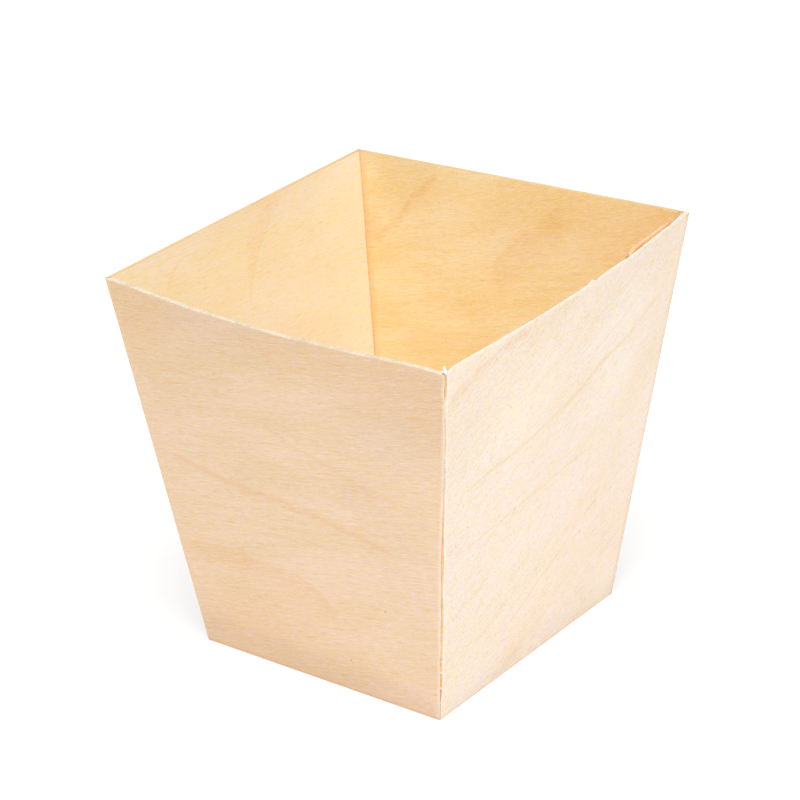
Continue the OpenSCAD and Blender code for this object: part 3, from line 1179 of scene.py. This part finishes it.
EDGES = {
    "fresh_edge": ((245, 236, 225), (230, 212, 196)),
    "bright_edge": ((208, 204, 196), (200, 193, 183)),
    "cut_edge": ((208, 196, 176), (188, 172, 149)),
    "tab_edge": ((216, 190, 164), (210, 174, 138)),
    "brown_edge": ((204, 176, 136), (198, 168, 124)),
    "seam_edge": ((220, 204, 182), (208, 187, 160)),
    "glued_edge": ((202, 160, 108), (192, 148, 98)),
    # Brown of the sliver past the tab's end: painted shade of the gap there
    "gap_shade": ((196, 136, 72), (176, 112, 56)),
    "splinter": ((240, 235, 231), (226, 218, 211)),
}
SLOTS = [*FINISHES, *EDGES, "open_score"]


def slot_of(name):
    return SLOTS.index(name)


def make_materials():
    made = [veneer_material(name) for name in FINISHES]
    made += [edge_material(name, *colours) for name, colours in EDGES.items()]
    made.append(open_score_material())
    return made


# A crease sharper than this stays sharp, in degrees
SHARP = 30


def add_object(name, data):
    made = bpy.data.objects.new(name, data)
    bpy.context.scene.collection.objects.link(made)
    return made


def mesh_of(name, bm):
    mesh = bpy.data.meshes.new(name)
    bm.to_mesh(mesh)
    bm.free()
    return mesh


def finish_piece(name, bm, materials):
    """Turns a bmesh into a piece of the bowl, with its creases sharp and the rest smooth."""
    for face in bm.faces:
        face.smooth = True
    for edge in bm.edges:
        edge.smooth = edge.calc_face_angle(0) < math.radians(SHARP)
    mesh = mesh_of(name, bm)
    for material in materials:
        mesh.materials.append(material)
    piece = add_object(name, mesh)
    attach(piece, "root")
    return piece


def dress_bowl():
    materials = make_materials()
    sheet = finish_piece("folded_sheet", folded_strip(), materials)
    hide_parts("bowl")
    finish_piece("floor_and_flaps", floor_and_flaps(), materials)
    finish_piece("rim_fibres", rim_fibres(), materials)
    finish_piece("tab_fibres", tab_fibres(), materials)
    torn = [materials[slot_of(name)] for name in FOLD_FINISHES]
    finish_piece("fold_fibres", fold_fibres(), torn)


# Studio. The camera looks back at the middle of the cup from AZIMUTH and ELEVATION, tipped by ROLL.
AZIMUTH = -52.69
ELEVATION = 25.354
ROLL = -2.081
LENS = 147.15
DISTANCE = 483.84
SHIFT = (-0.777, 5.718)
CENTRE = Vector((0, 0, 30))
FLOOR_HALF = 3000


def camera_at(azimuth, elevation, roll):
    """Right, up and back axes of a view."""
    a, e, r = (math.radians(angle) for angle in (azimuth, elevation, roll))
    back = Vector((math.sin(a) * math.cos(e), -math.cos(a) * math.cos(e), math.sin(e)))
    right = Vector((math.cos(a), math.sin(a), 0))
    up = back.cross(right)
    return math.cos(r) * right + math.sin(r) * up, math.cos(r) * up - math.sin(r) * right, back


def make_camera():
    right, up, back = camera_at(AZIMUTH, ELEVATION, ROLL)
    data = bpy.data.cameras.new("camera")
    data.lens = LENS
    data.sensor_width = 36
    data.clip_start = 0.01
    data.clip_end = 20
    camera = add_object("camera", data)
    place = (CENTRE + back * DISTANCE + right * SHIFT[0] + up * SHIFT[1]) * MM
    camera.matrix_world = Matrix.Translation(place) @ Matrix((right, up, back)).transposed().to_4x4()
    bpy.context.scene.camera = camera


# Greys of the paper, to the bowl and to the camera. The glow that makes it white to the camera grows away
# from the bowl, where less light falls, over a run in metres from the middle.
PAPER_BOUNCE = 0.86
PAPER_SEEN = 0.3
GLOW_NEAR = 0.685
GLOW_FAR = 0.76
GLOW_RUN = (0.05, 0.25)


def grey(value):
    return (value, value, value, 1)


def only_to_camera(tree, real, seen, output):
    """Shows the camera one shader, and lets the other light the scene."""
    path = put(tree, "LightPath").outputs["Is Camera Ray"]
    pick = put(tree, "MixShader", {0: path, 1: real.outputs[0], 2: seen.outputs[0]})
    put(tree, output, {"Surface": pick.outputs[0]})


def make_floor():
    """A white floor. The camera sees it as white paper with the bowl's own soft shadow."""
    bm = bmesh.new()
    bmesh.ops.create_grid(bm, x_segments=1, y_segments=1, size=FLOOR_HALF * MM)
    floor = add_object("floor", mesh_of("floor", bm))
    material, tree = new_material("paper")
    tree.nodes.clear()
    matte = put(tree, "BsdfDiffuse", {"Color": grey(PAPER_BOUNCE)})
    seen = put(tree, "BsdfDiffuse", {"Color": grey(PAPER_SEEN)})
    place = put(tree, "TexCoord").outputs["Object"]
    away = vector_calc(tree, "LENGTH", place)
    rise = calc(tree, "MULTIPLY", step_up(tree, away, *GLOW_RUN), GLOW_FAR - GLOW_NEAR)
    strength = calc(tree, "ADD", rise, GLOW_NEAR)
    glow = put(tree, "Emission", {"Color": grey(1), "Strength": strength})
    both = put(tree, "AddShader", {0: seen.outputs[0], 1: glow.outputs[0]})
    only_to_camera(tree, matte, both, "OutputMaterial")
    floor.data.materials.append(material)


WORLD_LIGHT = 0.45


def make_world():
    """Even white light from all round, seen by the camera as plain white."""
    world = bpy.data.worlds.new("studio")
    world.use_nodes = True
    tree = world.node_tree
    tree.nodes.clear()
    light = put(tree, "Background", {"Color": grey(1), "Strength": WORLD_LIGHT})
    white = put(tree, "Background", {"Color": grey(1), "Strength": 1.0})
    only_to_camera(tree, light, white, "OutputWorld")
    bpy.context.scene.world = world


# Soft round lamps, aimed at the cup: the way each looks from, as azimuth and elevation, and its watts
LAMPS = {"high": (-52, 78, 4.1), "front": (-52, 55, 2.8), "right": (40, 30, 0.4)}
LAMP_DISTANCE = 750
LAMP_WIDTH = 450


def make_lamps():
    for name, (azimuth, elevation, power) in LAMPS.items():
        back = camera_at(azimuth, elevation, 0)[2]
        data = bpy.data.lights.new(name, "AREA")
        data.shape = "DISK"
        data.size = LAMP_WIDTH * MM
        data.energy = power
        lamp = add_object(name, data)
        lamp.location = (CENTRE + back * LAMP_DISTANCE) * MM
        lamp.rotation_euler = back.to_track_quat("Z", "Y").to_euler()


def make_studio():
    make_camera()
    make_floor()
    make_world()
    make_lamps()
    bpy.context.scene.view_settings.view_transform = "Standard"


dress_bowl()
make_studio()
